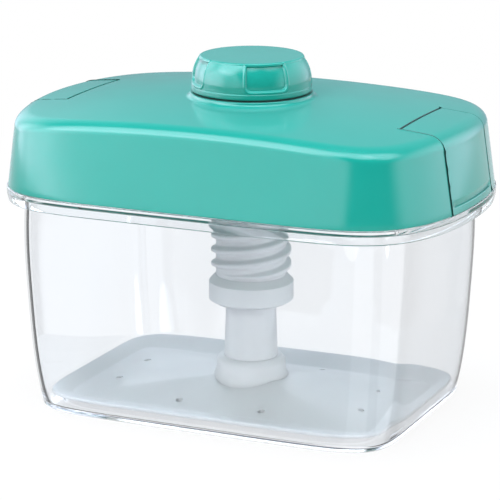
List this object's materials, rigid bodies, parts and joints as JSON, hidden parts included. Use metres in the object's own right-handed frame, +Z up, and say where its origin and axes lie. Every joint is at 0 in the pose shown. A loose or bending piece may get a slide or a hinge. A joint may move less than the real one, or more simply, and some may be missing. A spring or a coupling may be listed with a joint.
{
  "type": "pickle press",
  "caption": "Clear tapered box with a domed teal lid, end clips and a knob that screws a sprung white press plate down onto vegetables.",
  "frame": {"origin": "middle of the footprint, on the surface that the container stands on", "axes": "+X along the length towards the right clip, +Y from the front towards the back, +Z up along the screw"},
  "size_m": [0.213, 0.1412, 0.1584],
  "materials": {
    "clear_plastic": "clear polished styrene plastic",
    "teal_plastic": "smooth glossy moulded teal",
    "white_plastic": "milky white moulded polypropylene",
    "washer_plastic": "natural slippery plastic",
    "spring_steel": "drawn stainless wire"
  },
  "bodies": {
    "container": {"container": "clear_plastic"},
    "lid": {"lid": "teal_plastic"},
    "carrier": {"slip_washer": "washer_plastic", "pressure_spring": "spring_steel"},
    "screw": {"knob": "teal_plastic", "screw_tube": "white_plastic", "tube_collar": "white_plastic"},
    "press": {"stem_head": "white_plastic", "press_stem": "white_plastic", "press_plate": "white_plastic"},
    "left_clip": {"left_clip": "teal_plastic"},
    "right_clip": {"right_clip": "teal_plastic"}
  },
  "joints": [
    {"name": "lid_lift", "type": "slide", "parent": "container", "child": "lid", "axis": [0, 0, 1], "range_m": [0, 0.14]},
    {"name": "screw_travel", "type": "slide", "parent": "lid", "child": "carrier", "axis": [0, 0, 1], "range_m": [0, 0.0586]},
    {"name": "knob_turn", "type": "hinge", "parent": "carrier", "child": "screw", "pos_m": [0, 0, 0.15], "axis": [0, 0, 1], "range_deg": [0, 1620]},
    {"name": "press_give", "type": "slide", "parent": "carrier", "child": "press", "axis": [0, 0, 1], "range_m": [0, 0.014], "stiffness_N_per_m": 1500, "springref_m": -0.01, "deforming": ["pressure_spring"]},
    {"name": "left_clip_swing", "type": "hinge", "parent": "lid", "child": "left_clip", "pos_m": [-0.092, 0, 0.1315], "axis": [0, 1, 0], "range_deg": [0, 45]},
    {"name": "right_clip_swing", "type": "hinge", "parent": "lid", "child": "right_clip", "pos_m": [0.092, 0, 0.1315], "axis": [0, -1, 0], "range_deg": [0, 45]}
  ],
  "couplings": [
    {"joint": "screw_travel", "follows": "knob_turn", "m_per_rad": 0.002069}
  ]
}
